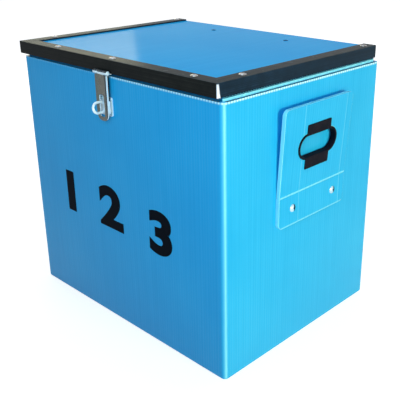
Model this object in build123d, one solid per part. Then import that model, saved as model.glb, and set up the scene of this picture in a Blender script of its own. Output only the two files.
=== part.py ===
from build123d import *
import math
import os

# Free-standing box of folded fluted board with a hinged lid, in millimetres.
# The origin is the centre of the base: +X right, +Y back, +Z up. The hasp side faces -Y.

# Box body
box_width = 450.0
box_depth = 346.0
wall_height = 403.0
board = 5.0
fold_radius = 7.5
floor_fold_radius = 2.5
floor_flap_ease = 1.0
floor_seam = 3.0
floor_seam_y = 12.0
liner_rise = 4.6

# Lid
lid_width_ease = 2.0
lid_shift = -6.0
lid_overhang = 3.5
lid_seat_gap = 0.3
trim_height = 19.0
trim_width = 22.0
trim_thickness = 2.5
trim_round = 1.4
trim_corner_radius = 2.6
hinge_gap = 0.5
hinge_side_inset = 8.0
hinge_reach = 65.0
hinge_taper = 22.0

# Rivets: head radius, head rise, shank radius, tail radius, tail rise
hole_ease = 0.05
lid_rivet = (5.0, 2.0, 1.6, 3.2, 1.4)
fold_rivet = (4.0, 1.2, 1.6, 3.2, 1.4)
staple_rivet = (2.8, 1.3, 1.6, 3.0, 1.2)
handle_rivet = (6.0, 2.4, 2.4, 4.0, 1.6)
front_rivet_shares = (-0.286, 0.388)
left_rivet_shares = (-0.338, 0.454)
right_rivet_shares = (-0.344, 0.445)
hinge_rivet_shares = (-0.174, 0.192)
hinge_rivet_inset = 50.0
washer_thickness = 1.2
washer_rim = 4.0

# Hasp and padlock eye
hasp_x = -7.5
hasp_width = 26.0
hasp_sheet = 1.8
hasp_stand_off = 9.0
tip_below_eye = 20.5
hasp_tip_radius = 11.0
hasp_return = 3.4
hasp_return_sheet = 1.4
return_below_eye = 9.0
hasp_shoulder_gap = 0.5
barrel_radius = 3.1
barrel_length = 31.0
barrel_drop_from_trim = 0.5
barrel_trim_gap = 0.4
middle_knuckle = 14.0
knuckle_gap = 0.4
pin_radius = 1.5
pin_ease = 0.05
pin_head_radius = 2.3
pin_head_length = 1.2
leaf_sheet = 1.6
leaf_reach = 24.0
leaf_trim_gap = 0.2
leaf_rivet_offset = 9.5
slot_width = 11.0
slot_length = 33.0
slot_corner = 3.5
slot_above_eye = 1.3
eye_drop = 50.0
eye_stand_off = 14.2
eye_length = 24.5
eye_width = 19.0
eye_wire = 3.8
eye_round_share = 0.4
eye_turn = 98.0
eye_boss_radius = 4.6
eye_boss_length = 3.2
staple_width = 28.0
staple_tall = 28.0
staple_sheet = 1.6
staple_corner = 3.0
staple_rivet_inset = 3.5

# Handle flaps
handle_y = 8.0
handle_width = 155.0
handle_bottom = 200.0
handle_strip_height = 48.0
handle_flap_height = 127.0
handle_board = 6.0
handle_corner = 8.0
handle_gap = 0.3
handle_rivet_share = 0.54
handle_rivet_spacing = 95.0
grip_above_crease = 65.0
grip_wall_gap = 0.7
grip_length = 88.0
grip_height = 38.0
grip_wall = 3.0
grip_proud = 1.5
grip_tab_width = 54.0
grip_tab_above = 13.0
grip_tab_below = 15.0
grip_tab_corner = 1.5
grip_ring_rim = 4.0
grip_ring_thickness = 2.4

# One overrun serves every cut
overrun = 2.0

# Places that follow from the sizes above
right = box_width / 2
back = box_depth / 2
front = -back
rim = wall_height
trim_bottom = rim + liner_rise + lid_seat_gap
trim_top = trim_bottom + trim_height
panel_top = trim_top - trim_thickness
panel_bottom = panel_top - board
lid_width = box_width - lid_width_ease
lid_left = lid_shift - lid_width / 2
lid_right = lid_shift + lid_width / 2
lid_front = front - lid_overhang
lid_back = back - hinge_gap
hinge_left = lid_left + trim_thickness + hinge_side_inset
hinge_right = lid_right - trim_thickness - hinge_side_inset
pin_y = lid_front - barrel_trim_gap - barrel_radius
pin_z = trim_bottom + barrel_drop_from_trim
eye_height = pin_z - eye_drop
hasp_tip_height = eye_height - tip_below_eye
hasp_return_end = eye_height - return_below_eye
strap_outer_y = front - hasp_stand_off
strap_inner_y = strap_outer_y + hasp_sheet
strap_top = pin_z - barrel_radius - hasp_shoulder_gap
leaf_front_y = lid_front + trim_thickness
handle_face = right + handle_board
flap_back = right + handle_gap
handle_crease = handle_bottom + handle_strip_height
handle_top = handle_crease + handle_flap_height
handle_middle = (handle_bottom + handle_top) / 2
handle_rivet_height = handle_bottom + handle_rivet_share * handle_strip_height
grip_middle = handle_crease + grip_above_crease
ring_low = grip_above_crease - grip_height / 2 - grip_ring_rim
handle_tilt = math.degrees(math.asin((grip_ring_thickness + grip_wall_gap - handle_gap) / ring_low))


# A block between two opposite corners
def block(low, high):
    size = [b - a for a, b in zip(low, high)]
    middle = [(a + b) / 2 for a, b in zip(low, high)]
    return Pos(*middle) * Box(*size)


# An upright prism over a plan outline
def prism(outline, low, high):
    return Pos(0, 0, low) * extrude(outline, high - low)


# A plane that looks out of the front, with its own X to the right and its own Y up
def front_plane(x, y, z):
    return Plane(origin=(x, y, z), x_dir=(1, 0, 0), z_dir=(0, -1, 0))


# A plane that looks out of the right side, with its own X to the back and its own Y up
def side_plane(x, y, z):
    return Plane(origin=(x, y, z), x_dir=(0, 1, 0), z_dir=(1, 0, 0))


# A domed rivet: head on z = 0, shank down through the grip, flat tail under it
def rivet(sizes, grip):
    head, rise, shank, tail, tail_rise = sizes
    dome = (head**2 + rise**2) / (2 * rise)
    half = math.asin(head / dome) / 2
    crown = (dome * math.sin(half), rise - dome + dome * math.cos(half))
    edges = [
        ThreePointArc((head, 0), crown, (0, rise)),
        Line((0, rise), (0, -grip - tail_rise)),
        Line((0, -grip - tail_rise), (tail, -grip - tail_rise)),
        Line((tail, -grip - tail_rise), (tail, -grip)),
        Line((tail, -grip), (shank, -grip)),
        Line((shank, -grip), (shank, 0)),
        Line((shank, 0), (head, 0)),
    ]
    return revolve(Plane.XZ * make_face(edges), Axis.Z)


# Where each rivet of a group stands, as planes whose Z is the head's direction
def seats(points, direction):
    return [Plane(origin=point, z_dir=direction) for point in points]


# The holes that a rivet group needs, as one set of cutters
def holes(places, sizes, grip):
    reach = grip + overrun
    drill = Pos(0, 0, -reach / 2) * Cylinder(sizes[2] + hole_ease, reach + overrun)
    return [place * drill for place in places]


def rivets(places, sizes, grip):
    return Compound(children=[place * rivet(sizes, grip) for place in places])


def washers(places, sizes, depth, thickness):
    ring = Circle(sizes[3] + washer_rim) - Circle(sizes[2] + hole_ease)
    disc = Pos(0, 0, -depth - thickness) * extrude(ring, thickness)
    return Compound(children=[place * disc for place in places])


# Outer sleeve: four walls with rounded folds, and a back wall that runs up to the lid's fold
def outer_sleeve():
    outline = RectangleRounded(box_width, box_depth, fold_radius)
    body = prism(outline, 0, rim)
    body = fillet(body.edges().group_by(Axis.Z)[0], floor_fold_radius)
    inside = RectangleRounded(box_width - 2 * board, box_depth - 2 * board, fold_radius - board)
    body -= prism(inside, -overrun, rim + overrun)
    rise = Polyline((back, rim), (back, panel_bottom), (back - board, panel_bottom - board),
                    (back - board, rim), (back, rim))
    wall = extrude(Plane.YZ * make_face(rise), hinge_right - hinge_left)
    return body + Pos(hinge_left, 0, 0) * wall


# Inner liner: stands on the inner floor flaps and rises a little above the sleeve
def inner_liner():
    width = box_width - 2 * board
    depth = box_depth - 2 * board
    outer = RectangleRounded(width, depth, fold_radius - board)
    inner = Rectangle(width - 2 * board, depth - 2 * board)
    return prism(outer - inner, 2 * board, rim + liner_rise)


# Floor: two long flaps that meet just behind the middle, two side flaps on them, one loose board
def floor_pieces():
    x = right - board
    y = back - board
    ease = floor_flap_ease
    reach = back - floor_seam / 2
    pieces = {
        "front_floor_flap": block((ease - x, -y, 0), (x - ease, floor_seam_y - floor_seam / 2, board)),
        "rear_floor_flap": block((ease - x, floor_seam_y + floor_seam / 2, 0), (x - ease, y, board)),
        "left_floor_flap": block((-x, ease - y, board), (reach - right, y - ease, 2 * board)),
        "right_floor_flap": block((right - reach, ease - y, board), (x, y - ease, 2 * board)),
    }
    inset = board + ease
    pieces["floor_board"] = block((inset - x, inset - y, 2 * board), (x - inset, y - inset, 3 * board))
    return pieces


# One length of L angle: it starts at origin and runs along, with its top flange going inward
def angle_run(origin, inward, along, length):
    section = Pos(trim_thickness / 2, (trim_bottom + trim_top) / 2) * Rectangle(trim_thickness, trim_height)
    section += Pos(trim_width / 2, trim_top - trim_thickness / 2) * Rectangle(trim_width, trim_thickness)
    section = fillet([section.vertices().sort_by_distance((0, trim_top, 0))[0]], trim_round)
    return extrude(Plane(origin=origin, x_dir=inward, z_dir=along) * section, length)


# Lid trim: three lengths of angle, mitred at the front corners, which are a little rounded
def lid_trims():
    depth = lid_back - lid_front
    middle = (lid_left + lid_right) / 2
    plan = RectangleRounded(lid_width, 2 * depth, trim_corner_radius)
    rounding = prism(Pos(middle, lid_front + depth) * plan, trim_bottom, trim_top)
    mitre = (lid_right - trim_width, lid_front + trim_width)
    left_mitre = (lid_left + trim_width, lid_front + trim_width)
    plans = {
        "front_trim": [(lid_left, lid_front), (lid_right, lid_front), mitre, left_mitre],
        "right_trim": [(lid_right, lid_front), (lid_right, lid_back), (mitre[0], lid_back), mitre],
        "left_trim": [(lid_left, lid_back), (lid_left, lid_front), left_mitre, (left_mitre[0], lid_back)],
    }
    runs = {
        "front_trim": angle_run((lid_left, lid_front, 0), (0, 1, 0), (1, 0, 0), lid_width),
        "right_trim": angle_run((lid_right, lid_front, 0), (-1, 0, 0), (0, 1, 0), depth),
        "left_trim": angle_run((lid_left, lid_back, 0), (1, 0, 0), (0, -1, 0), depth),
    }
    trims = {}
    for name, corners in plans.items():
        outline = make_face(Polyline(*corners, corners[0]))
        trims[name] = runs[name] & prism(outline, trim_bottom, trim_top) & rounding
    return trims


# Lid sheet between the trims, and the board flap under its rear edge that folds on the back wall
def lid_sheets():
    panel = block((lid_left + trim_thickness, leaf_front_y, panel_bottom),
                  (lid_right - trim_thickness, lid_back, panel_top))
    low = panel_bottom - board
    reach = back - hinge_reach
    section = Polyline((lid_back, panel_bottom), (lid_back - board, low), (reach, low),
                       (reach, panel_bottom), (lid_back, panel_bottom))
    flap = Pos(hinge_left, 0, 0) * extrude(Plane.YZ * make_face(section), hinge_right - hinge_left)
    taper = back - hinge_taper
    plan = Polyline((hinge_left, back), (hinge_right, back), (hinge_right - hinge_taper, taper),
                    (hinge_right - hinge_taper, reach), (hinge_left + hinge_taper, reach),
                    (hinge_left + hinge_taper, taper), (hinge_left, back))
    return panel, flap & prism(make_face(plan), low, panel_bottom)


# A cylinder along X about the hasp's pin, between two distances from the hasp's middle
def about_pin(radius, low, high):
    place = Plane(origin=(hasp_x + low, pin_y, pin_z), z_dir=(1, 0, 0))
    return extrude(place * Circle(radius), high - low)


# Fixed leaf of the hasp: tab under the lid sheet, web behind the trim, foot under it, two knuckles
def hasp_leaf():
    half = barrel_length / 2
    web_back = leaf_front_y + leaf_sheet
    foot_top = trim_bottom - leaf_trim_gap
    foot_low = foot_top - leaf_sheet
    leaf = block((hasp_x - half, leaf_front_y, panel_bottom - leaf_sheet),
                 (hasp_x + half, leaf_front_y + leaf_reach, panel_bottom))
    leaf += block((hasp_x - half, leaf_front_y, foot_low), (hasp_x + half, web_back, panel_bottom))
    leaf += block((hasp_x - half, pin_y, foot_low), (hasp_x + half, web_back, foot_top))
    leaf += about_pin(barrel_radius, -half, half)
    notch = middle_knuckle / 2 + knuckle_gap
    leaf -= about_pin(barrel_radius + knuckle_gap, -notch, notch)
    return leaf - about_pin(pin_radius + pin_ease, -half - overrun, half + overrun)


def hasp_pin():
    half = barrel_length / 2
    pin = about_pin(pin_radius, -half, half)
    for low in (-half - pin_head_length, half):
        pin += about_pin(pin_head_radius, low, low + pin_head_length)
    return pin


# Swinging strap: slotted plate with turned-back edges, one knuckle on the pin
def hasp_strap():
    half = hasp_width / 2
    place = front_plane(hasp_x, strap_inner_y, (strap_top + hasp_tip_height) / 2)
    outline = Rectangle(hasp_width, strap_top - hasp_tip_height)
    outline = fillet(outline.vertices().group_by(Axis.Y)[0], hasp_tip_radius)
    strap = extrude(place * outline, hasp_sheet)
    for low in (-half, half - hasp_return_sheet):
        strap += block((hasp_x + low, strap_inner_y, hasp_return_end),
                       (hasp_x + low + hasp_return_sheet, strap_inner_y + hasp_return, strap_top))
    knuckle = middle_knuckle / 2
    strap += block((hasp_x - knuckle, strap_outer_y, strap_top), (hasp_x + knuckle, strap_inner_y, pin_z))
    strap += about_pin(barrel_radius, -knuckle, knuckle)
    strap -= about_pin(pin_radius + pin_ease, -half, half)
    slot = RectangleRounded(slot_width, slot_length, slot_corner)
    slot_place = front_plane(hasp_x, strap_inner_y + hasp_return, eye_height + slot_above_eye)
    return strap - extrude(slot_place * slot, hasp_return + hasp_sheet + overrun)


# Padlock eye: an oval steel ring on a short boss, turned about the way it points
def padlock_eye():
    turn = math.radians(eye_turn)
    normal = (-math.sin(turn), 0, math.cos(turn))
    place = Plane(origin=(hasp_x, front - eye_stand_off, eye_height), x_dir=(0, -1, 0), z_dir=normal)
    opening = SlotOverall(eye_length - 2 * eye_wire, eye_width - 2 * eye_wire)
    ring = extrude(SlotOverall(eye_length, eye_width) - opening, eye_wire / 2, both=True)
    ring = fillet(ring.edges(), eye_wire * eye_round_share)
    boss_place = front_plane(hasp_x, front - staple_sheet, eye_height)
    boss = extrude(boss_place * Circle(eye_boss_radius), eye_boss_length)
    return place * ring + boss


# Staple plate on the front wall, its rivets and the plate behind them inside the box
def staple_pieces():
    x = staple_width / 2 - staple_rivet_inset
    z = staple_tall / 2 - staple_rivet_inset
    face = front - staple_sheet
    points = [(hasp_x + i * x, face, eye_height + j * z) for i in (-1, 1) for j in (-1, 1)]
    places = seats(points, (0, -1, 0))
    grip = 2 * staple_sheet + 2 * board
    drills = holes(places, staple_rivet, grip)
    outline = RectangleRounded(staple_width, staple_tall, staple_corner)
    plate = extrude(front_plane(hasp_x, front, eye_height) * outline, staple_sheet)
    backer = Pos(0, 2 * board + staple_sheet, 0) * plate
    return {
        "staple_plate": plate - drills,
        "staple_backer": backer - drills,
        "staple_rivets": rivets(places, staple_rivet, grip),
    }, drills


# Right handle: fixed strip and folding flap of one board, with the black finger grip in the flap
def handle_outline():
    return side_plane(right, handle_y, handle_middle) * RectangleRounded(
        handle_width, handle_top - handle_bottom, handle_corner)


def handle_pieces():
    board_piece = extrude(handle_outline(), handle_board)
    low = (right - overrun, handle_y - handle_width, handle_bottom - overrun)
    strip = board_piece & block(low, (handle_face + overrun, handle_y + handle_width, handle_crease))
    points = [(handle_face, handle_y + i * handle_rivet_spacing / 2, handle_rivet_height) for i in (-1, 1)]
    places = seats(points, (1, 0, 0))
    depth = handle_board + 2 * board
    grip = depth + washer_thickness
    drills = holes(places, handle_rivet, grip)
    flap_low = (flap_back, handle_y - handle_width, handle_crease + handle_gap)
    flap_high = (handle_face + overrun, handle_y + handle_width, handle_top + overrun)
    flap = board_piece & block(flap_low, flap_high)

    outer = SlotOverall(grip_length, grip_height)
    opening = SlotOverall(grip_length - 2 * grip_wall, grip_height - 2 * grip_wall)
    ring = SlotOverall(grip_length + 2 * grip_ring_rim, grip_height + 2 * grip_ring_rim)
    tall = grip_height + grip_tab_above + grip_tab_below
    tab = RectangleRounded(grip_tab_width, tall, grip_tab_corner)
    tab = Pos(0, (grip_tab_above - grip_tab_below) / 2) * tab
    ring_back = flap_back - grip_ring_thickness
    back_face = side_plane(ring_back, handle_y, grip_middle)
    outer_face = side_plane(handle_face, handle_y, grip_middle)
    tube_length = handle_face + grip_proud - ring_back
    grip_piece = extrude(back_face * (outer - opening), tube_length)
    grip_piece += extrude(outer_face * (tab - outer), grip_proud)
    ring_piece = extrude(back_face * (ring - outer), grip_ring_thickness)
    flap -= extrude(back_face * outer, tube_length)

    pivot = Pos(handle_face, 0, handle_crease)
    tilt = pivot * Rot(0, handle_tilt, 0) * pivot.inverse()
    return {
        "handle_strip": strip - drills,
        "handle_rivets": rivets(places, handle_rivet, grip),
        "handle_washers": washers(places, handle_rivet, depth, washer_thickness),
        "handle_flap": tilt * flap,
        "grip": tilt * grip_piece,
        "grip_ring": tilt * ring_piece,
    }, drills


# Rivets that hold each trim to the lid sheet; the one beside the hasp holds its leaf too
def lid_rivet_groups():
    lane = trim_width / 2
    sheet = trim_thickness + board
    front_xs = [lid_shift + i * lid_width for i in front_rivet_shares]
    hinge_xs = [lid_shift + i * lid_width for i in hinge_rivet_shares]
    right_ys = [i * box_depth for i in right_rivet_shares]
    left_ys = [i * box_depth for i in left_rivet_shares]
    groups = {
        "front_trim_rivets": ([(x, lid_front + lane, trim_top) for x in front_xs], lid_rivet, sheet),
        "right_trim_rivets": ([(lid_right - lane, y, trim_top) for y in right_ys], lid_rivet, sheet),
        "left_trim_rivets": ([(lid_left + lane, y, trim_top) for y in left_ys], lid_rivet, sheet),
        "hasp_leaf_rivet": ([(hasp_x + leaf_rivet_offset, lid_front + lane, trim_top)], lid_rivet,
                            sheet + leaf_sheet),
        "hinge_rivets": ([(x, back - hinge_rivet_inset, panel_top) for x in hinge_xs], fold_rivet,
                         2 * board + washer_thickness),
    }
    return {name: (seats(points, (0, 0, 1)), sizes, grip) for name, (points, sizes, grip) in groups.items()}


# The same piece on the other side of the box
def mirrored(piece):
    copies = [mirror(solid, Plane.YZ) for solid in piece.solids()]
    return copies[0] if len(copies) == 1 else Compound(children=copies)


# Everything together, as one dictionary of node names and solids
def ballot_box():
    nodes = {}
    staple, staple_drills = staple_pieces()
    handle, handle_drills = handle_pieces()
    left_drills = [mirror(drill, Plane.YZ) for drill in handle_drills]
    wall_drills = staple_drills + handle_drills + left_drills
    nodes["outer_sleeve"] = outer_sleeve() - wall_drills
    nodes["inner_liner"] = inner_liner() - wall_drills
    nodes.update(floor_pieces())
    nodes.update(staple)
    nodes["padlock_eye"] = padlock_eye()

    panel, flap = lid_sheets()
    leaf = hasp_leaf()
    trims = lid_trims()
    for name, (places, sizes, grip) in lid_rivet_groups().items():
        drills = holes(places, sizes, grip)
        panel -= drills
        flap -= drills
        leaf -= drills
        trims = {trim: piece - drills for trim, piece in trims.items()}
        nodes[name] = rivets(places, sizes, grip)
        if name == "hinge_rivets":
            nodes["hinge_washers"] = washers(places, sizes, 2 * board, washer_thickness)
    nodes["lid_panel"] = panel
    nodes["hinge_flap"] = flap
    nodes.update(trims)
    nodes["hasp_leaf"] = leaf
    nodes["hasp_pin"] = hasp_pin()
    nodes["hasp_strap"] = hasp_strap()

    for name, piece in handle.items():
        nodes["right_" + name] = piece
        nodes["left_" + name] = mirrored(piece)
    return nodes


os.makedirs("parts", exist_ok=True)
for node, piece in ballot_box().items():
    export_step(piece, os.path.join("parts", node + ".step"))
    print(node, "volume %.0f" % piece.volume)
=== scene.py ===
import math
import bmesh
import bpy
from mathutils import Matrix, Vector


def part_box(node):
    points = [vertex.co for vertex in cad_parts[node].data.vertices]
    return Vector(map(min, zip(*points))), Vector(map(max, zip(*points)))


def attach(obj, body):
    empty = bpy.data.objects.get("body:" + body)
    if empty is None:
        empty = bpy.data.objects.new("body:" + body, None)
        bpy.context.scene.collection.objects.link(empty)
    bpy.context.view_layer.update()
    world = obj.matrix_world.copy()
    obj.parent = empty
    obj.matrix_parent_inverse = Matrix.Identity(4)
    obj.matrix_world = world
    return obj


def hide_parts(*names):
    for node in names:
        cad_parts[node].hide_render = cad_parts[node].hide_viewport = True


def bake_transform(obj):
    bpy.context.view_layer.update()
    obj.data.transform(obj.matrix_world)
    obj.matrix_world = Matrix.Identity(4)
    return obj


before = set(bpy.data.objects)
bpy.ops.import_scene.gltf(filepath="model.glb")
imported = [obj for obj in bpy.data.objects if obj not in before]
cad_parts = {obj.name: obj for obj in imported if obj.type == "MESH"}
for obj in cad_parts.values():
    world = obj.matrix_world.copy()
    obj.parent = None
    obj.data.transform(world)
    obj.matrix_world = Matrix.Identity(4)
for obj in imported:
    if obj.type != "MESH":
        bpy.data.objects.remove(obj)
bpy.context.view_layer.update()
collection = bpy.context.scene.collection
trimLow, trimTop = (corner.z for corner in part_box("front_trim"))
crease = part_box("right_handle_strip")[1].z      # height of both handles' folds
white = (1, 1, 1, 1)
print("frame loaded,", len(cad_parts), "nodes")


# The nodes of one material or world
class Nodes:
    def __init__(self, name, owners=bpy.data.materials, shader="Principled BSDF"):
        self.owner = owners.new(name)
        self.owner.use_nodes = True
        self.tree = self.owner.node_tree
        self.shader = self.tree.nodes[shader]

    # A socket goes by its name, with _ for a space, or by its number, as _0
    def add(self, kind, settings=None, **sockets):
        node = self.tree.nodes.new("ShaderNode" + kind)
        for key, value in (settings or {}).items():
            setattr(node, key, value)
        for key, value in sockets.items():
            self.plug(node, key, value)
        return node

    def plug(self, node, key, value):
        socket = node.inputs[int(key[1:])] if key[0] == "_" else node.inputs[key.replace("_", " ")]
        if isinstance(value, bpy.types.NodeSocket):
            self.tree.links.new(value, socket)
        else:
            socket.default_value = value

    def math(self, operation, a, b):
        return self.add("Math", {"operation": operation}, _0=a, _1=b).outputs[0]

    def mix(self, factor, a, b):
        return self.add("Mix", {"data_type": "RGBA"}, _0=factor, _6=a, _7=b).outputs[2]

    def place(self):
        return self.add("TexCoord").outputs["Object"]

    def axes(self):
        return self.add("SeparateXYZ", _0=self.place()).outputs

    def marks(self, name):
        return self.add("Attribute", {"attribute_name": name}).outputs["Fac"]

    def noise(self, vector, scale, detail, rough=0.5):
        return self.add("TexNoise", Vector=vector, Scale=scale, Detail=detail, Roughness=rough).outputs["Fac"]

    # Maps the span low to high onto toLow to toHigh
    def stretch(self, value, low, high, toLow=0.0, toHigh=1.0):
        return self.add("MapRange", Value=value, From_Min=low, From_Max=high,
                        To_Min=toLow, To_Max=toHigh).outputs[0]

    def scaled(self, vector, amounts):
        return self.add("Mapping", Vector=vector, Scale=amounts).outputs[0]

    def bump(self, height, distance, strength, under=None):
        node = self.add("Bump", Height=height, Distance=distance, Strength=strength)
        if under is not None:
            self.plug(node, "Normal", under)
        return node.outputs[0]

    # 1 for the rays that show the background: camera, glossy and transmission rays
    def seen(self):
        ray = self.add("LightPath").outputs
        mirrored = self.math("MAXIMUM", ray["Is Glossy Ray"], ray["Is Transmission Ray"])
        return self.math("MAXIMUM", ray["Is Camera Ray"], mirrored)

    def dress(self, **sockets):
        for key, value in sockets.items():
            self.plug(self.shader, key, value)
        return self.owner


fluteSizes = {
    "pitch": 0.005, "skin": 0.0005, "depth": 0.012,          # metres
    "rimWear": 1.0, "paintedShade": 0.9,                           # how pale the rim is, how dark the painted shade on the open cells' walls
    "cellShare": 0.7, "cellLimit": 1.4,                      # shares of the pitch that tell flute cells
}

# In each look a noise is scale, detail and roughness, a span is what stretch takes after its value,
# and a bump is distance and strength
boardLook = {
    "deep": (0.013, 0.385, 0.79, 1), "light": (0.022, 0.435, 0.84, 1), "pale": (0.30, 0.84, 0.97, 1),
    # The next two colours are the pale of bruised flute ends, partly a painted glint, and the dark navy of
    # painted shade
    "burrAndGlint": (0.62, 0.92, 1.0, 1), "paintedShade": (0.0, 0.045, 0.11, 1),
    "streakScale": (260, 3, 1), "streaks": (1.0, 3.0), "clouds": (7.0, 3.0), "grain": (1400.0, 2.0),
    "streakShare": 0.55, "toneSpan": (0.35, 0.65),
    "webSharpness": 6.0, "webSpan": (0.35, 0.65, 0.3, 1.5), "webs": 0.035,
    "wornSpan": (0.3, 0.7, 0.75, 1.1), "burrSpan": (0.0, 0.5), "beadSpan": (0.35, 0.80, 0.40, 1.0),
    "fluteBump": (0.00004, 0.8), "grainBump": (0.00003, 0.5),
    "rough": 0.24, "specular": 0.08, "ior": 1.5,
}
lidLook = {**boardLook, "rough": 0.12, "specular": 0.5, "ior": 1.03}


# Across and along are the object axes across the flutes and along them. Without them the piece's
# own board map is read
def boardFinish(name, across=None, along=None, look=boardLook):
    n = Nodes(name)
    if across is None:
        coords = n.add("UVMap", {"uv_map": "board"}).outputs[0]
    else:
        axes = n.axes()
        coords = n.add("CombineXYZ", _0=axes[across], _1=axes[along]).outputs[0]
    waveScale = math.pi / 10 / fluteSizes["pitch"]           # bands repeat every pi / 10 / scale
    wave = n.add("TexWave", {"bands_direction": "X"}, Vector=coords, Scale=waveScale,
                 Distortion=0.0).outputs["Fac"]
    streaks = n.noise(n.scaled(coords, look["streakScale"]), *look["streaks"])
    clouds = n.noise(coords, *look["clouds"])
    grain = n.noise(coords, *look["grain"])
    tone = n.math("ADD", n.math("MULTIPLY", streaks, look["streakShare"]),
                  n.math("MULTIPLY", clouds, 1 - look["streakShare"]))
    colour = n.mix(n.stretch(tone, *look["toneSpan"]), look["deep"], look["light"])
    webs = n.math("POWER", wave, look["webSharpness"])
    webs = n.math("MULTIPLY", webs, n.stretch(clouds, *look["webSpan"]))
    colour = n.mix(n.math("MULTIPLY", webs, look["webs"]), colour, look["pale"])
    # Pale wear on cut edges and scores, and also the painted highlights on the wall folds and on the liner's
    # side band
    worn = n.math("MULTIPLY", n.marks("wearAndHighlight"), n.stretch(streaks, *look["wornSpan"]))
    colour = n.mix(worn, colour, look["pale"])
    # Pale beads along the cut rim: bruised flute ends, partly a painted glint
    burrAndGlint = n.stretch(n.marks("burrAndGlint"), *look["burrSpan"])
    burrGlints = n.math("MULTIPLY", burrAndGlint, n.stretch(wave, *look["beadSpan"]))
    colour = n.mix(burrGlints, colour, look["burrAndGlint"])
    # Painted shade: the open flute cells' walls and the liner's band under the trim turn dark navy
    colour = n.mix(n.marks("paintedShade"), colour, look["paintedShade"])
    fine = n.bump(grain, *look["grainBump"], n.bump(wave, *look["fluteBump"]))
    return n.dress(Base_Color=colour, Normal=fine, Specular_IOR_Level=look["specular"],
                   IOR=look["ior"], Roughness=look["rough"])


trimLook = {
    "dark": (0.009, 0.010, 0.010, 1), "dusty": (0.036, 0.033, 0.028, 1), "white": (0.74, 0.78, 1.0, 1),
    "drawnAlong": 4, "drawnAcross": 900, "drawn": (1.0, 3.0, 0.6), "dust": (60.0, 4.0, 0.6),
    "drawnSpan": (0.35, 0.75), "dustSpan": (0.3, 0.75), "roughFrom": (0.3, 0.7), "rough": (0.28, 0.50),
    "drawnBump": (0.00010, 0.6), "specular": 0.03, "ior": 1.5,
    "corner": (0.217, -0.180), "sideFade": 0.0004,           # the white bar by the near corner
    "barTop": 0.0070, "barFoot": 0.0100, "barFade": (1.06, 0.92), "barRagged": 0.3,
    "barFrom": 0.0011, "barFull": 0.0023,
}
# The side angles: the same black plastic and dust, with its tones tinted blue as a painted reflection
trimSideBlueReflectionLook = {**trimLook, "dark": (0.004, 0.014, 0.028, 1), "dusty": (0.016, 0.042, 0.086, 1),
                "specular": 0.05}
# The angles' upward faces: coloured lighter as a painted sheen of the light they reflect
trimTopSheenLook = {**trimLook, "dark": (0.040, 0.040, 0.040, 1), "dusty": (0.105, 0.115, 0.118, 1),
               "rough": (0.16, 0.30), "specular": 0.5, "ior": 1.035}


def trimFinish(name, lengthwise, look=trimLook):
    n = Nodes(name)
    along, across = look["drawnAlong"], look["drawnAcross"]
    amounts = (along, across, across) if lengthwise == "x" else (across, along, across)
    drawn = n.noise(n.scaled(n.place(), amounts), *look["drawn"])
    dust = n.noise(n.place(), *look["dust"])
    tone = n.math("MULTIPLY", n.stretch(drawn, *look["drawnSpan"]), n.stretch(dust, *look["dustSpan"]))
    colour = n.mix(tone, look["dark"], look["dusty"])
    x, y, z = n.axes()
    reach = n.stretch(z, trimLow, trimTop, look["barFoot"], look["barTop"])
    share = n.math("DIVIDE", n.math("SUBTRACT", y, look["corner"][1]), reach)
    share = n.math("ADD", share, n.math("MULTIPLY", n.math("SUBTRACT", dust, 0.5), look["barRagged"]))
    below = n.stretch(z, trimTop - look["barFrom"], trimTop - look["barFull"])
    outside = n.stretch(x, look["corner"][0], look["corner"][0] + look["sideFade"])
    bar = n.math("MULTIPLY", n.math("MULTIPLY", n.stretch(share, *look["barFade"]), below), outside)
    return n.dress(Base_Color=n.mix(bar, colour, look["white"]), Normal=n.bump(drawn, *look["drawnBump"]),
                   Specular_IOR_Level=look["specular"], IOR=look["ior"],
                   Roughness=n.stretch(dust, *look["roughFrom"], *look["rough"]))


gripLook = {
    "dark": (0.003, 0.005, 0.011, 1), "worn": (0.012, 0.010, 0.016, 1), "grain": (1600.0, 2.0),
    "rubbed": (70.0, 3.0), "wornSpan": (0.35, 0.7), "roughSpan": (0.3, 0.7, 0.38, 0.55),
    "grainBump": (0.00006, 0.5), "specular": 0.5, "ior": 1.08,
}


def gripFinish(look=gripLook):
    n = Nodes("gripMoulding")
    grain = n.noise(n.place(), *look["grain"])
    rubbed = n.noise(n.place(), *look["rubbed"])
    return n.dress(Base_Color=n.mix(n.stretch(rubbed, *look["wornSpan"]), look["dark"], look["worn"]),
                   Normal=n.bump(grain, *look["grainBump"]), Specular_IOR_Level=look["specular"],
                   IOR=look["ior"], Roughness=n.stretch(rubbed, *look["roughSpan"]))


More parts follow.
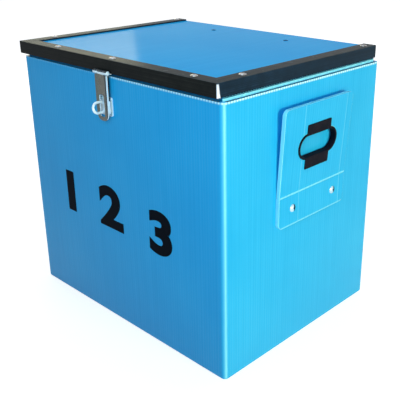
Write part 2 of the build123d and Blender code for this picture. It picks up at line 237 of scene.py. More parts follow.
metalGrain = {
    "brush": (900.0, 3.0, 0.6), "stains": (120.0, 4.0, 0.6), "span": (0.3, 0.7), "bump": (0.00002, 0.4),
}
metalLook = {
    "strap": {"low": (0.095, 0.095, 0.082, 1), "high": (0.14, 0.135, 0.117, 1), "rough": (0.24, 0.40),
              "metal": 0.6, "specular": 0.5},
    # Plated steel; on the strap and leaf it also stands as a painted highlight
    "platedAndHighlight": {"low": (0.74, 0.88, 1.0, 1), "high": (0.88, 0.96, 1.0, 1), "rough": (0.30, 0.45),
               "metal": 0.15, "specular": 0.5},
    "rivet": {"low": (0.36, 0.58, 0.74, 1), "high": (0.56, 0.80, 0.94, 1), "rough": (0.18, 0.30),
              "metal": 0.55, "specular": 0.5},
    "dull": {"low": (0.16, 0.15, 0.155, 1), "high": (0.42, 0.40, 0.40, 1), "rough": (0.24, 0.38),
             "metal": 0.8, "specular": 0.5},
    "sunk": {"low": (0.012, 0.09, 0.20, 1), "high": (0.02, 0.14, 0.30, 1), "rough": (0.34, 0.5),
             "metal": 0.0, "specular": 0.05},
    # Painted shade: the dark finish on the rear part of the handle rivets' heads
    "dark": {"low": (0.004, 0.035, 0.075, 1), "high": (0.012, 0.06, 0.12, 1), "rough": (0.40, 0.55),
             "metal": 0.0, "specular": 0.0},
}


def metalNodes(name, key, brushed=(1, 1, 1), grain=metalGrain):
    look = metalLook[key]
    n = Nodes(name)
    brush = n.noise(n.scaled(n.place(), brushed), *grain["brush"])
    stains = n.noise(n.place(), *grain["stains"])
    n.dress(Base_Color=n.mix(n.stretch(stains, *grain["span"]), look["low"], look["high"]),
            Metallic=look["metal"], Normal=n.bump(brush, *grain["bump"]),
            Specular_IOR_Level=look["specular"],
            Roughness=n.stretch(brush, *grain["span"], *look["rough"]))
    return n


strapLook = {
    "left": (0.08, 0.11, 0.098, 1), "edge": (0.015, 0.028, 0.043, 1), "brushed": (6, 6, 0.3),
    "leftReach": 0.011, "leftFull": 0.003, "leftShare": 0.8, "edgeFrom": 0.0036, "edgeFade": 0.0006,
    "shadeFrom": 0.0008, "shadeFull": 0.0020,
}


# The strap's rolled face, with painted reflections: greener at its left and darker beside the turned edge,
# and painted shade up by the trim
def strapFinish(name, node, look=strapLook):
    n = metalNodes(name, "strap", look["brushed"])
    low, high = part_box(node)
    x, y, z = n.axes()
    face = n.shader.inputs["Base Color"].links[0].from_socket
    left = n.stretch(x, low.x + look["leftReach"], low.x + look["leftFull"], 0.0, look["leftShare"])
    edgeLine = high.x - look["edgeFrom"]
    edge = n.stretch(x, edgeLine, edgeLine + look["edgeFade"])
    shaded = n.stretch(z, trimLow + look["shadeFrom"], trimLow + look["shadeFull"])
    face = n.mix(left, face, look["left"])
    return n.dress(Base_Color=n.mix(n.math("MAXIMUM", edge, shaded), face, look["edge"]))


vinylLook = {
    "low": (0.001, 0.002, 0.005, 1), "high": (0.004, 0.007, 0.012, 1), "speckle": (300.0, 3.0),
    "roughSpan": (0.3, 0.7, 0.32, 0.46), "bump": (0.00003, 0.4), "specular": 0.01,
}


def vinylFinish(look=vinylLook):
    n = Nodes("vinylBlack")
    speckle = n.noise(n.place(), *look["speckle"])
    return n.dress(Base_Color=n.mix(speckle, look["low"], look["high"]), Specular_IOR_Level=look["specular"],
                   Roughness=n.stretch(speckle, *look["roughSpan"]), Normal=n.bump(speckle, *look["bump"]))


finishes = {
    "board": boardFinish("flutedBoard"),
    "boardLid": boardFinish("flutedBoardLid", look=lidLook),
    "boardX": boardFinish("flutedBoardAcrossX", 0, 1),
    "boardY": boardFinish("flutedBoardAcrossY", 1, 0),
    "trimFront": trimFinish("edgeAngleFront", "x"),
    "trimSide": trimFinish("edgeAngleSideBlueReflection", "y", trimSideBlueReflectionLook),
    "trimFrontTop": trimFinish("edgeAngleFrontTop", "x", trimTopSheenLook),
    "trimSideTop": trimFinish("edgeAngleSideTop", "y", trimTopSheenLook),
    "grip": gripFinish(),
    "strap": strapFinish("rolledSteel", "hasp_strap"),
    "platedAndHighlight": metalNodes("platedSteelAndHighlight", "platedAndHighlight").owner,
    "rivet": metalNodes("rivetAluminium", "rivet").owner,
    "dark": metalNodes("rivetPaintedShade", "dark").owner,
    "dull": metalNodes("rivetDull", "dull").owner,
    "sunk": metalNodes("rivetSunk", "sunk").owner,
    "vinyl": vinylFinish(),
}
print("finishes made:", len(finishes))


meshSteps = {
    "merge": 0.000002, "copyMerge": 0.000004, "near": 0.00001,                  # metres
    "copyAngle": 0.6, "easeAngle": 40, "sharpAngle": 34,                        # degrees
    "flatArea": 0.00003,                     # faces from this area up are shaded flat, in square metres
    "facing": 0.9, "aligned": 0.99, "upright": 0.1, "halfway": 0.5,             # parts of a normal
}


# A crisp piece has its large faces shaded flat. Faces that pass the test get the second finish
def finishPiece(name, bm, finish, body, replaced=(), crisp=False, sharp=meshSteps["sharpAngle"],
                second=None, test=None):
    bmesh.ops.remove_doubles(bm, verts=bm.verts, dist=meshSteps["merge"])
    bmesh.ops.recalc_face_normals(bm, faces=bm.faces)
    bm.normal_update()
    for face in bm.faces:
        face.smooth = not crisp or face.calc_area() < meshSteps["flatArea"]
        if second and test(face):
            face.material_index = 1
    for edge in bm.edges:
        edge.smooth = edge.calc_face_angle(0.0) < math.radians(sharp)
    mesh = bpy.data.meshes.new(name)
    bm.to_mesh(mesh)
    bm.free()
    mesh.materials.append(finishes[finish])
    if second:
        mesh.materials.append(finishes[second])
    piece = bpy.data.objects.new(name, mesh)
    collection.objects.link(piece)
    if body:
        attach(piece, body)
    if replaced:
        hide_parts(*replaced)
    return piece


# A copy of a CAD node, merged and with its flat faces whole again
def mergedCopy(node):
    bm = bmesh.new()
    bm.from_mesh(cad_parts[node].data)
    bmesh.ops.remove_doubles(bm, verts=bm.verts, dist=meshSteps["copyMerge"])
    bmesh.ops.dissolve_limit(bm, angle_limit=math.radians(meshSteps["copyAngle"]), verts=bm.verts,
                             edges=bm.edges)
    return bm


def breakEdges(bm, edges, offset, segments=2, clamp=False):
    bmesh.ops.bevel(bm, geom=edges, offset=offset, offset_type="OFFSET", segments=segments, profile=0.5,
                    affect="EDGES", clamp_overlap=clamp, material=-1)


# The same copy with its sharp edges broken
def eased(node, offset):
    bm = mergedCopy(node)
    sharp = [e for e in bm.edges if e.calc_face_angle(0.0) > math.radians(meshSteps["easeAngle"])]
    breakEdges(bm, sharp, offset, clamp=True)
    return bm


def solidBox(bm, low, high):
    made = bmesh.ops.create_cube(bm, size=1.0)["verts"]
    bmesh.ops.scale(bm, vec=Vector(high) - Vector(low), verts=made)
    bmesh.ops.translate(bm, vec=(Vector(high) + Vector(low)) / 2, verts=made)


def cutAcross(bm, point, normal):
    bmesh.ops.bisect_plane(bm, geom=bm.verts[:] + bm.edges[:] + bm.faces[:], plane_co=point, plane_no=normal)


# Pulls faces out along a vector and gives back the points that moved
def pullFaces(bm, faces, vector):
    made = bmesh.ops.extrude_face_region(bm, geom=faces)["geom"]
    verts = [g for g in made if isinstance(g, bmesh.types.BMVert)]
    bmesh.ops.translate(bm, vec=vector, verts=verts)
    return verts


# Marks are corner values that the board's finish reads: pale wear with painted highlights, painted shade, and
# bruised flute ends with a painted glint
def markLayer(bm, name):
    return bm.loops.layers.float.get(name) or bm.loops.layers.float.new(name)


def markFaces(bm, faces, amount, name="wearAndHighlight"):
    layer = markLayer(bm, name)
    for face in faces:
        for loop in face.loops:
            loop[layer] = amount


# Opens the flutes in the cut end faces of a board, and marks the opened cells' inner walls for painted shade
def openFlutes(bm, faces, inward, rimWear=fluteSizes["rimWear"], paintedShade=fluteSizes["paintedShade"], s=fluteSizes):
    rims = bmesh.ops.inset_individual(bm, faces=faces, thickness=s["skin"], use_even_offset=True)["faces"]
    floors = bmesh.ops.extrude_discrete_faces(bm, faces=faces)["faces"]
    sides = {f for floor in floors for e in floor.edges for f in e.link_faces}
    deep = {v for f in floors for v in f.verts}
    bmesh.ops.translate(bm, vec=Vector(inward) * s["depth"], verts=list(deep))
    markFaces(bm, rims, rimWear)
    markFaces(bm, sides, paintedShade, "paintedShade")


# Cuts a long narrow end face into squares one flute wide and opens them
def fluteEnd(bm, face, inward, rimWear=fluteSizes["rimWear"], paintedShade=fluteSizes["paintedShade"], s=fluteSizes):
    longest = sorted(face.edges, key=lambda e: -e.calc_length())[:2]
    cuts = max(1, round(longest[0].calc_length() / s["pitch"])) - 1
    normal, middle = face.normal.copy(), face.calc_center_median()
    bmesh.ops.subdivide_edges(bm, edges=longest, cuts=cuts, use_grid_fill=True)
    bm.faces.ensure_lookup_table()
    bm.normal_update()
    cells = [f for f in bm.faces if f.normal.dot(normal) > meshSteps["aligned"] and len(f.verts) == 4
             and abs((f.calc_center_median() - middle).dot(normal)) < meshSteps["near"]
             and max(e.calc_length() for e in f.edges) < s["pitch"] * s["cellLimit"]]
    openFlutes(bm, cells, inward, rimWear, paintedShade)


# The board's own map: across its flutes and along them, in metres
def boardMap(bm, alongAxis):
    layer = bm.loops.layers.uv.get("board") or bm.loops.layers.uv.new("board")
    bm.normal_update()
    for face in bm.faces:
        rest = [a for a in range(3) if a != alongAxis]
        if abs(face.normal[rest[0]]) > abs(face.normal[rest[1]]):
            rest.reverse()
        for loop in face.loops:
            loop[layer].uv = (loop.vert.co[rest[0]], loop.vert.co[alongAxis])


wallSizes = {
    "width": 0.450, "depth": 0.346, "board": 0.005, "fold": 0.0075, "foldSegments": 8,
    "rim": 0.403, "floorFold": 0.0025, "floorFoldSegments": 3, "rimWear": 0.1,
    "riseLeft": -0.2195, "riseRight": 0.2075, "foldTop": 0.4194,
    "foldWhiteningAndHighlight": (0.0, 0.0, 0.05, 0.12, 0.35, 0.92, 0.50, 0.06, 0.0), "foldFacing": 0.06,
    "burrAndGlint": 0.0034, "burrFrom": 0.03, "burrFade": 0.05, "burrLeast": 0.10,
    "linerRise": 0.0046, "linerGap": 0.0005, "linerFoot": 0.010, "linerFold": 0.0005,
    "linerLine": 0.0033, "linerSideHighlight": 0.75, "linerShade": 0.75, "linerTopShade": 0.85,
}


def outlineLoop(bm, width, depth, radius, segments, z):
    before = set(bm.edges)
    verts = bmesh.ops.create_grid(bm, x_segments=1, y_segments=1, size=0.5)["verts"]
    place = Matrix.Translation((0, 0, z)) @ Matrix.Diagonal((width, depth, 1, 1))
    bmesh.ops.transform(bm, matrix=place, verts=verts)
    bmesh.ops.delete(bm, geom=[verts[0].link_faces[0]], context="FACES_ONLY")
    bmesh.ops.bevel(bm, geom=verts, offset=radius, offset_type="OFFSET", segments=segments, profile=0.5,
                    affect="VERTICES", material=-1)
    return [e for e in bm.edges if e not in before]


# A ring of fluted board standing on end, with rounded folds at its corners
def boardRing(width, depth, outerFold, innerFold, low, high, s):
    bm = bmesh.new()
    inside = 2 * s["board"]
    outer = outlineLoop(bm, width, depth, outerFold, s["foldSegments"], low)
    inner = outlineLoop(bm, width - inside, depth - inside, innerFold, s["foldSegments"], low)
    bmesh.ops.bridge_loops(bm, edges=outer + inner)
    for axis, run in ((0, width), (1, depth)):
        runs = [e for e in bm.edges if e.calc_length() > run / 2
                and abs((e.verts[0].co - e.verts[1].co).normalized()[axis]) > meshSteps["aligned"]]
        cuts = round((run - 2 * outerFold) / fluteSizes["pitch"]) - 1
        bmesh.ops.subdivide_edges(bm, edges=runs, cuts=cuts, use_grid_fill=True)
    pullFaces(bm, bm.faces[:], (0, 0, high - low))
    bmesh.ops.recalc_face_normals(bm, faces=bm.faces)
    return bm


def rimCells(bm, z):
    least = fluteSizes["pitch"] ** 2 * fluteSizes["cellShare"]
    return [f for f in bm.faces if f.normal.z > meshSteps["facing"] and f.calc_area() > least
            and abs(f.calc_center_median().z - z) < meshSteps["near"]]


# How pale the fold is at a point, from the front or rear wall round to the side wall: partly stress
# whitening, partly a painted highlight that peaks where the fold turns towards the side wall
def foldWhiteningAndHighlight(point, s):
    across = max(0.0, abs(point.x) - s["width"] / 2 + s["fold"])
    along = max(0.0, abs(point.y) - s["depth"] / 2 + s["fold"])
    return s["foldWhiteningAndHighlight"][round(math.atan2(across, along) / (math.pi / 2) * s["foldSegments"])]


# How much bruised flute end and painted glint the rim shows at a point: less towards the front left, which is
# given painted shade where the trim hangs low over it
def burrGlintShare(face, point, s):
    if face.normal.y > -meshSteps["halfway"] or point.x > s["burrFrom"]:
        return 1.0
    return max(s["burrLeast"], 1 - (s["burrFrom"] - point.x) / s["burrFade"])


# Marks the strip of wall just under the cut rim, where the flute ends are bruised and a painted glint stands
# for the light they catch
def burrStrip(bm, s):
    foot = s["rim"] - s["burrAndGlint"]
    cutAcross(bm, (0, 0, foot), (0, 0, 1))
    layer = markLayer(bm, "burrAndGlint")
    bm.normal_update()
    for face in bm.faces:
        if abs(face.normal.z) < meshSteps["upright"] and foot < face.calc_center_median().z < s["rim"]:
            for loop in face.loops:
                point = loop.vert.co
                loop[layer] = burrGlintShare(face, point, s) if point.z > foot + s["burrAndGlint"] / 2 else 0.0


# The edges where the outer faces of the walls meet the ground
def footEdges(bm):
    feet = []
    for edge in bm.edges:
        walls = [f for f in edge.link_faces if f.normal.z > -meshSteps["halfway"]]
        grounded = all(abs(v.co.z) < meshSteps["near"] for v in edge.verts)
        if grounded and walls and all(f.calc_center_median().xy.dot(f.normal.xy) > 0 for f in walls):
            feet.append(edge)
    return feet


def makeSleeve(s=wallSizes):
    bm = boardRing(s["width"], s["depth"], s["fold"], s["fold"] - s["board"], 0, s["rim"], s)
    back = s["depth"] / 2
    rims = rimCells(bm, s["rim"])
    rise = [f for f in rims if f.calc_center_median().y > back - s["board"]
            and s["riseLeft"] < f.calc_center_median().x < s["riseRight"]]
    plain = [f for f in rims if f not in rise]
    verts = pullFaces(bm, rise, (0, 0, s["foldTop"] - s["board"] - s["rim"]))
    outside = [v for v in verts if v.co.y > back - s["board"] / 2]
    bmesh.ops.translate(bm, vec=(0, 0, s["board"]), verts=outside)
    breakEdges(bm, footEdges(bm), s["floorFold"], s["floorFoldSegments"])
    bm.normal_update()
    layer = markLayer(bm, "wearAndHighlight")
    # Along the folds: partly stress whitening, partly a painted highlight
    for face in bm.faces:
        turned = min(abs(face.normal.x), abs(face.normal.y)) > s["foldFacing"]
        if turned and abs(face.normal.z) < meshSteps["halfway"]:
            for loop in face.loops:
                loop[layer] = foldWhiteningAndHighlight(loop.vert.co, s)
    openFlutes(bm, plain, (0, 0, -1), s["rimWear"])
    burrStrip(bm, s)
    boardMap(bm, 2)
    finishPiece("wallSleeve", bm, "board", "box", ["outer_sleeve"])


def makeLiner(s=wallSizes):
    inside = 2 * (s["board"] + s["linerGap"])
    top = s["rim"] + s["linerRise"]
    bm = boardRing(s["width"] - inside, s["depth"] - inside, s["fold"] - s["board"], s["linerFold"],
                   s["linerFoot"], top, s)
    openFlutes(bm, rimCells(bm, top), (0, 0, -1))
    cutAcross(bm, (0, 0, s["rim"]), (0, 0, 1))
    cutAcross(bm, (0, 0, s["rim"] + s["linerLine"]), (0, 0, 1))
    bm.normal_update()
    # The band of liner above the sleeve's rim: a painted highlight on its side faces, painted shadow on its
    # front and rear faces, and darker painted shadow along its top under the trim
    band = [f for f in bm.faces if f.calc_center_median().z > s["rim"]
            and abs(f.normal.z) < meshSteps["upright"]]
    halfway = meshSteps["halfway"]
    markFaces(bm, [f for f in band if abs(f.normal.x) > halfway], s["linerSideHighlight"])
    markFaces(bm, [f for f in band if abs(f.normal.x) < halfway], s["linerShade"], "paintedShade")
    above = [f for f in band if f.calc_center_median().z > s["rim"] + s["linerLine"]]
    markFaces(bm, above, s["linerTopShade"], "paintedShade")
    boardMap(bm, 2)
    finishPiece("wallLiner", bm, "board", "box", ["inner_liner"])


makeSleeve()
makeLiner()
print("walls made")


def endFace(bm, normal):
    bm.normal_update()
    return max((f for f in bm.faces if f.normal.dot(Vector(normal)) > meshSteps["aligned"]),
               key=lambda f: f.calc_area())


# The lid sheet, and the flap of its fold under its rear edge
def makeLid():
    bm = bmesh.new()
    solidBox(bm, *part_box("lid_panel"))
    fluteEnd(bm, endFace(bm, (0, 1, 0)), (0, -1, 0))
    boardMap(bm, 1)
    finishPiece("lidSheet", bm, "boardLid", "lid", ["lid_panel"])
    bm = mergedCopy("hinge_flap")
    fluteEnd(bm, endFace(bm, (0, -1, 0)), (0, 1, 0))
    boardMap(bm, 1)
    finishPiece("foldFlap", bm, "board", "lid", ["hinge_flap"])
    print("lid made")


makeLid()


trimSizes = {"edge": 0.0004, "topFacing": 0.7}


def makeTrims(s=trimSizes):
    for node in ("front_trim", "right_trim", "left_trim"):
        finish = "trimFront" if node == "front_trim" else "trimSide"
        # Upward faces get the top look, a painted sheen
        finishPiece(node + "Angle", eased(node, s["edge"]), finish, "lid", [node], crisp=True,
                    second=finish + "Top", test=lambda face: face.normal.z > s["topFacing"])
    print("trims made")


makeTrims()


handleSizes = {
    "edge": 0.0006, "gripEdge": 0.0005, "edgeAngle": 60, "edgeWear": 0.9, "flatFacing": 0.93,
    "endRim": 0.5, "endShade": 0.0,
    "scoreShares": (0.28, 0.91), "scoreWidth": 0.0012, "scoreWear": 0.28,
    "footWidth": 0.0022, "footWear": 0.40,
    "creaseWidth": 0.0030, "creaseThick": 0.0003, "creaseCuts": 4, "creaseRise": 0.5, "creaseWear": 0.55,
    "creaseSharp": 80, "creaseBlend": 0.0008,
}


# The fixed strip or the moving flap of a handle; ends is 1 where the open flutes look up
def makeHandleBoard(side, part, body, ends, s=handleSizes):
    out = 1 if side == "right" else -1
    node = f"{side}_{part}"
    bm = mergedCopy(node)
    bm.normal_update()
    rims = [e for e in bm.edges if e.calc_face_angle(0.0) > math.radians(s["edgeAngle"])
            and any(f.normal.x * out > meshSteps["facing"] for f in e.link_faces)]
    breakEdges(bm, rims, s["edge"])
    bm.normal_update()
    markFaces(bm, [f for f in bm.faces if abs(f.normal.x) < s["flatFacing"]], s["edgeWear"])
    end = max((f for f in bm.faces if f.normal.z * ends > meshSteps["facing"] and len(f.verts) == 4),
              key=lambda f: f.calc_area())
    fluteEnd(bm, end, -end.normal, s["endRim"], s["endShade"])
    low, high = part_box(node)
    scores = [low.y + share * (high.y - low.y) for share in s["scoreShares"]]
    foot = low.z + s["footWidth"]
    for line in scores:
        cutAcross(bm, (0, line - s["scoreWidth"] / 2, 0), (0, 1, 0))
        cutAcross(bm, (0, line + s["scoreWidth"] / 2, 0), (0, 1, 0))
    cutAcross(bm, (0, 0, foot), (0, 0, 1))
    bm.normal_update()
    face = [f for f in bm.faces if f.normal.x * out > s["flatFacing"]]
    scored = [f for f in face
              if min(abs(f.calc_center_median().y - line) for line in scores) < s["scoreWidth"] / 2]
    markFaces(bm, scored, s["scoreWear"])
    if part == "handle_strip":
        markFaces(bm, [f for f in face if f.calc_center_median().z < foot], s["footWear"])
    boardMap(bm, 2)
    finishPiece(node + "Board", bm, "board", body, [node], crisp=True)


# A thin arched strip that bridges the fold between the two boards
def makeCrease(side, s=handleSizes):
    out = 1 if side == "right" else -1
    low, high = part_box(side + "_handle_strip")
    face = max(abs(low.x), abs(high.x))
    bm = bmesh.new()
    solidBox(bm, (0, low.y + s["edge"], crease - s["creaseWidth"] / 2),
             (s["creaseThick"], high.y - s["edge"], crease + s["creaseWidth"] / 2))
    upright = [e for e in bm.edges if abs(e.verts[0].co.z - e.verts[1].co.z) > s["creaseWidth"] / 2]
    bmesh.ops.subdivide_edges(bm, edges=upright, cuts=s["creaseCuts"], use_grid_fill=True)
    for v in bm.verts:
        arch = 1 - (2 * (v.co.z - crease) / s["creaseWidth"]) ** 2
        v.co.x = out * (face - s["creaseThick"] / 2 + v.co.x * (s["creaseRise"] + arch))
    markFaces(bm, bm.faces, s["creaseWear"])
    boardMap(bm, 2)
    strip = finishPiece(side + "CreaseStrip", bm, "board", None, sharp=s["creaseSharp"])
    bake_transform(strip)


for side in ("right", "left"):
    makeHandleBoard(side, "handle_flap", side + "_handle", 1)
    makeHandleBoard(side, "handle_strip", "box", -1)
    for node in (side + "_grip", side + "_grip_ring"):
        finishPiece(node + "Moulding", eased(node, handleSizes["gripEdge"]), "grip", side + "_handle",
                    [node], crisp=True)
    makeCrease(side)
print("handles made")


haspSizes = {
    "edge": 0.00035, "turnedFrom": -0.1792, "highlightBelow": 0.368, "barrelBelow": 0.0036, "barrelLit": 0.25,
    "sideFacing": 0.6,
}


def makeHasp(s=haspSizes):
    barrel = trimLow - s["barrelBelow"]

    # The strap's turned edges, the lower rims of its plate and the lit part of its barrel get the pale plated
    # finish as a painted highlight
    def strapHighlight(face):
        middle = face.calc_center_median()
        if middle.z > barrel:
            return face.normal.z < s["barrelLit"]
        low = middle.y < s["turnedFrom"] or middle.z < s["highlightBelow"]
        return abs(face.normal.x) > s["sideFacing"] and low

    # The leaf's downward faces get the same painted highlight
    def leafHighlight(face):
        return face.normal.z < s["barrelLit"]

    bm = eased("hasp_strap", s["edge"])
    cutAcross(bm, (0, s["turnedFrom"], 0), (0, 1, 0))
    cutAcross(bm, (0, 0, s["highlightBelow"]), (0, 0, 1))
    finishPiece("hasp_strapMetal", bm, "strap", "hasp_strap", ["hasp_strap"], crisp=True,
                second="platedAndHighlight", test=strapHighlight)
    finishPiece("hasp_leafMetal", eased("hasp_leaf", s["edge"]), "strap", "lid", ["hasp_leaf"],
                crisp=True, second="platedAndHighlight", test=leafHighlight)
    for node, body in (("hasp_pin", "lid"), ("staple_plate", "box"), ("staple_backer", "box")):
        finishPiece(node + "Metal", eased(node, s["edge"]), "platedAndHighlight", body, [node], crisp=True)


ringSizes = {
    "centre": (-0.0075, -0.1872, 0.3584), "turn": 98.0, "length": 0.0245, "width": 0.019, "wire": 0.0019,
    "ringSteps": 56, "wireSides": 16, "bossRadius": 0.0046, "bossShare": 0.86, "bossSides": 32,
    "bossFrom": -0.1746, "bossTo": -0.1778,
}


# The padlock eye: an oval of round wire, turned about the way it points, on a short boss
def makeRing(s=ringSizes):
    bm = bmesh.new()
    wire = bmesh.ops.create_circle(bm, segments=s["wireSides"], radius=s["wire"])["verts"]
    bmesh.ops.rotate(bm, cent=(0, 0, 0), matrix=Matrix.Rotation(math.pi / 2, 3, "X"), verts=wire)
    bmesh.ops.translate(bm, vec=(s["width"] / 2 - s["wire"], 0, 0), verts=wire)
    bmesh.ops.spin(bm, geom=bm.verts[:] + bm.edges[:], cent=(0, 0, 0), axis=(0, 0, 1), angle=2 * math.pi,
                   steps=s["ringSteps"], use_merge=True)
    for v in bm.verts:
        if abs(v.co.x) > meshSteps["near"]:
            v.co.x += math.copysign((s["length"] - s["width"]) / 2, v.co.x)
    turn = math.radians(s["turn"])
    axes = Matrix(((0, -1, 0), (math.cos(turn), 0, math.sin(turn)), (-math.sin(turn), 0, math.cos(turn))))
    place = Matrix.Translation(s["centre"]) @ axes.transposed().to_4x4()
    bmesh.ops.transform(bm, matrix=place, verts=bm.verts)
    boss = bmesh.ops.create_cone(bm, cap_ends=True, segments=s["bossSides"], radius1=s["bossRadius"],
                                 radius2=s["bossRadius"] * s["bossShare"],
                                 depth=s["bossFrom"] - s["bossTo"])["verts"]
    place = Matrix.Translation((s["centre"][0], (s["bossFrom"] + s["bossTo"]) / 2, s["centre"][2]))
    bmesh.ops.transform(bm, matrix=place @ Matrix.Rotation(math.pi / 2, 4, "X"), verts=boss)
    finishPiece("padlockRing", bm, "platedAndHighlight", "box", ["padlock_eye"])


makeHasp()
makeRing()
print("hasp made")


# Radii and rises in metres
rivetSizes = {
    "lid": {"head": 0.005, "rise": 0.002, "shank": 0.0016, "tail": 0.0032, "tailRise": 0.0014},
    "fold": {"head": 0.004, "rise": 0.0012, "shank": 0.0016, "tail": 0.0032, "tailRise": 0.0014},
    "staple": {"head": 0.0028, "rise": 0.0013, "shank": 0.0016, "tail": 0.003, "tailRise": 0.0012},
    "handle": {"head": 0.006, "rise": 0.0024, "shank": 0.0024, "tail": 0.004, "tailRise": 0.0016},
}
# The stem's sunk end in shares of its radius and the head's rise, the dome's angles in radians, and
# the tail in shares of its own radius and rise
rivetShape = {
    "stemShare": 0.3, "stemShares": ((0, 0.65), (0.6, 0.65), (0.75, 0.8), (1, 0.99)),
    "domeAngles": (0.5, 0.75, 1.0, 1.25, 1.45), "tailShares": ((1, 0), (0.96, 0.7), (0.8, 1), (0, 1)),
    "steps": 28, "rearShadeFrom": 0.0006, "rearShadeShare": 1.3,
}
rivetGroups = {    # kind, finish, body, grip, direction of the head
    "front_trim_rivets": ("lid", "dull", "lid", 0.0075, (0, 0, 1)),
    "right_trim_rivets": ("lid", "dull", "lid", 0.0075, (0, 0, 1)),
    "left_trim_rivets": ("lid", "dull", "lid", 0.0075, (0, 0, 1)),
    "hasp_leaf_rivet": ("lid", "dull", "lid", 0.0091, (0, 0, 1)),
    "hinge_rivets": ("fold", "sunk", "lid", 0.0112, (0, 0, 1)),
    "staple_rivets": ("staple", "rivet", "box", 0.0132, (0, -1, 0)),
    "right_handle_rivets": ("handle", "rivet", "box", 0.0172, (1, 0, 0)),
    "left_handle_rivets": ("handle", "rivet", "box", 0.0172, (-1, 0, 0)),
}


# Where each rivet of a node seats: the middle of its head's underside, from the CAD solids
def rivetSeats(node, direction, rise):
    bm = mergedCopy(node)
    seats, left, out = [], set(bm.verts), Vector(direction)
    while left:
        group, edge = set(), [left.pop()]
        while edge:
            v = edge.pop()
            group.add(v)
            fresh = [e.other_vert(v) for e in v.link_edges if e.other_vert(v) in left]
            left.difference_update(fresh)
            edge += fresh
        low = Vector([min(v.co[i] for v in group) for i in range(3)])
        high = Vector([max(v.co[i] for v in group) for i in range(3)])
        middle = (low + high) / 2
        top = max(v.co.dot(out) for v in group)
        seats.append(middle + out * (top - rise - middle.dot(out)))
    bm.free()
    return sorted(seats, key=tuple)


def addRivet(bm, sizes, grip, place, s=rivetShape):
    head, rise, shank = sizes["head"], sizes["rise"], sizes["shank"]
    stem = head * s["stemShare"]
    profile = [(stem * x, rise * z) for x, z in s["stemShares"]]
    profile += [(head * math.sin(a), rise * math.cos(a)) for a in s["domeAngles"]]
    profile += [(head, 0), (shank, 0), (shank, -grip)]
    profile += [(sizes["tail"] * x, -grip - sizes["tailRise"] * z) for x, z in s["tailShares"]]
    before = set(bm.verts)
    verts = [bm.verts.new((x, 0, z)) for x, z in profile]
    edges = [bm.edges.new(pair) for pair in zip(verts, verts[1:])]
    bmesh.ops.spin(bm, geom=verts + edges, cent=(0, 0, 0), axis=(0, 0, 1), angle=2 * math.pi,
                   steps=s["steps"], use_merge=True)
    bmesh.ops.remove_doubles(bm, verts=[v for v in bm.verts if v not in before], dist=meshSteps["near"])
    bmesh.ops.transform(bm, matrix=place, verts=[v for v in bm.verts if v not in before])


def makeRivets(s=rivetShape):
    for node, (kind, finish, body, grip, direction) in rivetGroups.items():
        sizes = rivetSizes[kind]
        seats = rivetSeats(node, direction, sizes["rise"])
        turn = Vector((0, 0, 1)).rotation_difference(Vector(direction)).to_matrix().to_4x4()
        bm = bmesh.new()
        for seat in seats:
            addRivet(bm, sizes, grip, Matrix.Translation(seat) @ turn)
        reach = sizes["head"] * s["rearShadeShare"]

        # The rear part of each head; on the handle rivets it takes the dark finish as painted shade
        def rearShade(face):
            middle = face.calc_center_median()
            return any((middle - p).length < reach and middle.y - p.y > s["rearShadeFrom"] for p in seats)

        finishPiece(node + "Heads", bm, finish, body, [node],
                    second="dark" if kind == "handle" else None, test=rearShade)
    print("rivets made:", len(rivetGroups), "groups")


makeRivets()


numberSizes = {
    "height": 0.070, "thick": 0.0003, "heavier": 0.042, "widthShare": 1.25, "front": -0.173, "curveSteps": 10,
    "places": {"1": (-0.123, 0.159), "2": (-0.017, 0.160), "3": (0.098, 0.153)},
}


# A flat digit as a mesh, at the font's own size
def digitMesh(digit, s=numberSizes):
    text = bpy.data.curves.new("digit" + digit, "FONT")
    text.body = digit
    text.align_x = "CENTER"
    text.offset = s["heavier"]
    text.resolution_u = s["curveSteps"]
    carrier = bpy.data.objects.new("digit" + digit, text)
    collection.objects.link(carrier)
    bpy.context.view_layer.update()
    mesh = bpy.data.meshes.new_from_object(carrier.evaluated_get(bpy.context.evaluated_depsgraph_get()))
    bpy.data.objects.remove(carrier)
    return mesh


def makeNumbers(s=numberSizes):
    for digit, (x, z) in s["places"].items():
        bm = bmesh.new()
        bm.from_mesh(digitMesh(digit))
        xs, ys = [v.co.x for v in bm.verts], [v.co.y for v in bm.verts]
        scale = s["height"] / (max(ys) - min(ys))
        centre = Matrix.Translation((-(max(xs) + min(xs)) / 2, -min(ys), 0))
        size = Matrix.Diagonal((scale * s["widthShare"], scale, scale, 1))
        stand = Matrix.Translation((x, s["front"], z)) @ Matrix.Rotation(math.pi / 2, 4, "X")
        bmesh.ops.transform(bm, matrix=stand @ size @ centre, verts=bm.verts)
        bmesh.ops.remove_doubles(bm, verts=bm.verts, dist=meshSteps["near"])
        pullFaces(bm, bm.faces[:], (0, -s["thick"], 0))
        finishPiece("number" + digit, bm, "vinyl", "box")
    print("numbers made")


makeNumbers()


# Finishes of the CAD nodes that stay
keptNodes = {
    "front_floor_flap": "boardX", "rear_floor_flap": "boardX", "left_floor_flap": "boardY",
    "right_floor_flap": "boardY", "floor_board": "boardX", "hinge_washers": "rivet",
    "right_handle_washers": "rivet", "left_handle_washers": "rivet",
}
for node, finish in keptNodes.items():
    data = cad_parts[node].data
    data.materials.clear()
    data.materials.append(finishes[finish])


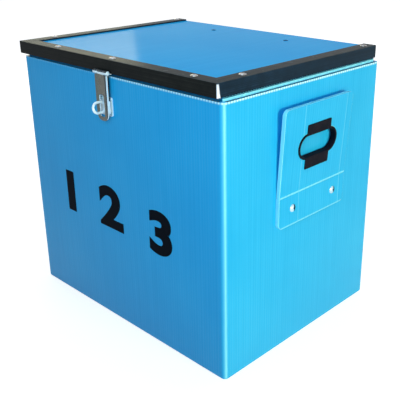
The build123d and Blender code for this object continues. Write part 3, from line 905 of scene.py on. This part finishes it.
studio = {
    "floor": (0.44, 0.45, 0.47, 1), "floorSize": 6, "floorRough": 0.9, "floorSpecular": 0.1,
    "glowReach": (0.5, 1.6), "floorGlow": (0.76, 0.90), "world": 0.25, "worldColour": (0.68, 0.83, 1.0, 1),
    "lamps": {
        "key": {"place": (2.2, -0.05, 0.36), "size": (0.5, 0.5), "power": 43, "colour": (1.0, 0.95, 0.62),
                "target": (1.3, -0.05, -0.5)},
        "fill": {"place": (0.66, -0.96, 0.78), "size": (0.6, 0.6), "power": 7.9, "colour": (0.55, 0.84, 0.97),
                 "target": (0, 0, 0.2)},
        "rear": {"place": (0.4, 2.6, 1.0), "size": (1.2, 1.2), "power": 20, "colour": (0.86, 0.94, 1.0),
                 "target": (0, 0, 0.2)},
        "left": {"place": (-2.05, 0.70, 1.21), "size": (1.43, 0.9), "power": 15, "colour": (1.0, 0.97, 0.62),
                 "target": (-0.12, 0.0, 0.424)},     # mirrored in the lid as its pale patch
        "top": {"place": (-0.4, 0.3, 2.4), "size": (1.6, 1.6), "power": 17, "colour": (0.70, 0.88, 1.0),
                "target": (0, 0, 0.2)},
    },
}


# A pale floor that glows for the rays that show the background, and keeps the object's shadow
def makeFloor(s=studio):
    bm = bmesh.new()
    bmesh.ops.create_grid(bm, x_segments=1, y_segments=1, size=s["floorSize"])
    mesh = bpy.data.meshes.new("floor")
    bm.to_mesh(mesh)
    bm.free()
    floor = bpy.data.objects.new("floor", mesh)
    collection.objects.link(floor)
    n = Nodes("paleFloor")
    n.dress(Base_Color=s["floor"], Roughness=s["floorRough"], Specular_IOR_Level=s["floorSpecular"])
    away = n.add("VectorMath", {"operation": "LENGTH"}, _0=n.place()).outputs["Value"]
    shown = n.math("MULTIPLY", n.seen(), n.stretch(away, *s["glowReach"], *s["floorGlow"]))
    glow = n.add("Emission", Color=white, Strength=shown)
    both = n.add("AddShader", _0=n.shader.outputs[0], _1=glow.outputs[0])
    n.tree.links.new(both.outputs[0], n.tree.nodes["Material Output"].inputs["Surface"])
    mesh.materials.append(n.owner)


# White where it is seen or mirrored, a dim blue light everywhere else
def makeWorld(s=studio):
    n = Nodes("studioWorld", bpy.data.worlds, "Background")
    bpy.context.scene.world = n.owner
    seen = n.seen()
    n.dress(Color=n.mix(seen, s["worldColour"], white), Strength=n.stretch(seen, 0.0, 1.0, s["world"], 1.0))


def makeLamps(s=studio):
    for name, look in s["lamps"].items():
        light = bpy.data.lights.new(name, "AREA")
        light.shape = "RECTANGLE"
        light.size, light.size_y = look["size"]
        light.energy = look["power"]
        light.color = look["colour"]
        lamp = bpy.data.objects.new(name, light)
        lamp.location = look["place"]
        aim = Vector(look["target"]) - Vector(look["place"])
        lamp.rotation_euler = aim.to_track_quat("-Z", "Y").to_euler()
        collection.objects.link(lamp)


# Angles in degrees, place in metres in the camera's own axes, focal length and centre in the pixels
# of a frame 400 pixels wide, sensor in millimetres
cameraView = {
    "azimuth": 43.80, "elevation": 21.19, "roll": 0.31, "place": (-0.0464, 0.1843, 1.2099),
    "focal": 672.0, "frame": 400.0, "centre": (227.4, 179.1), "sensor": 36.0, "clip": 50,
}


def makeCamera(s=cameraView):
    a, e, r = (math.radians(s[key]) for key in ("azimuth", "elevation", "roll"))
    forward = Vector((-math.sin(a) * math.cos(e), math.cos(a) * math.cos(e), -math.sin(e)))
    right = forward.cross(Vector((0, 0, 1))).normalized()
    down = forward.cross(right)
    right, down = math.cos(r) * right + math.sin(r) * down, math.cos(r) * down - math.sin(r) * right
    alongRight, alongDown, alongForward = s["place"]
    place = -(right * alongRight + down * alongDown + forward * alongForward)
    data = bpy.data.cameras.new("photoCamera")
    data.sensor_width = s["sensor"]
    data.lens = s["focal"] * s["sensor"] / s["frame"]
    data.shift_x = -(s["centre"][0] / s["frame"] - 0.5)
    data.shift_y = s["centre"][1] / s["frame"] - 0.5
    data.clip_end = s["clip"]
    camera = bpy.data.objects.new("photoCamera", data)
    axes = Matrix((right, -down, -forward)).transposed()
    camera.matrix_world = Matrix.Translation(place) @ axes.to_4x4()
    collection.objects.link(camera)
    bpy.context.scene.camera = camera


makeFloor()
makeWorld()
makeLamps()
makeCamera()
bpy.context.scene.view_settings.view_transform = "Standard"
print("studio made")
